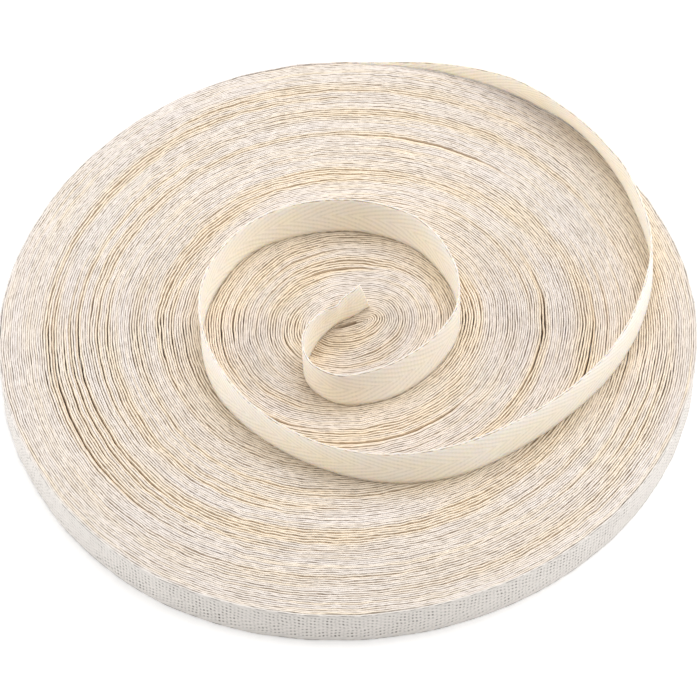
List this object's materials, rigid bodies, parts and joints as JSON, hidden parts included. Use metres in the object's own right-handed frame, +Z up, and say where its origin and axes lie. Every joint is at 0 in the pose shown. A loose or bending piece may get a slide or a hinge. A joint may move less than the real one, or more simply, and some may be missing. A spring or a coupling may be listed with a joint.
{
  "type": "roll of herringbone twill tape",
  "caption": "Flat coreless roll of cream cotton herringbone tape, its loose end standing on edge in a spiral on top.",
  "frame": {"origin": "Middle of the part's outline seen from above, on the surface that the roll lies on.", "axes": "+Z is up, through the thickness of the flat roll. +Y points to the back, where the loose end leaves the rim. +X points to the right, across the roll's longer way."},
  "size_m": [0.1882, 0.182, 0.0257],
  "materials": {
    "wound_cloth": "undyed cream cotton tape seen on its selvedges, matt, with darker gaps between the turns",
    "tape_cloth": "undyed cream cotton in a herringbone twill, matt, soft"
  },
  "bodies": {
    "root": {"wound_roll": "wound_cloth", "loose_end": "tape_cloth"}
  },
  "joints": []
}
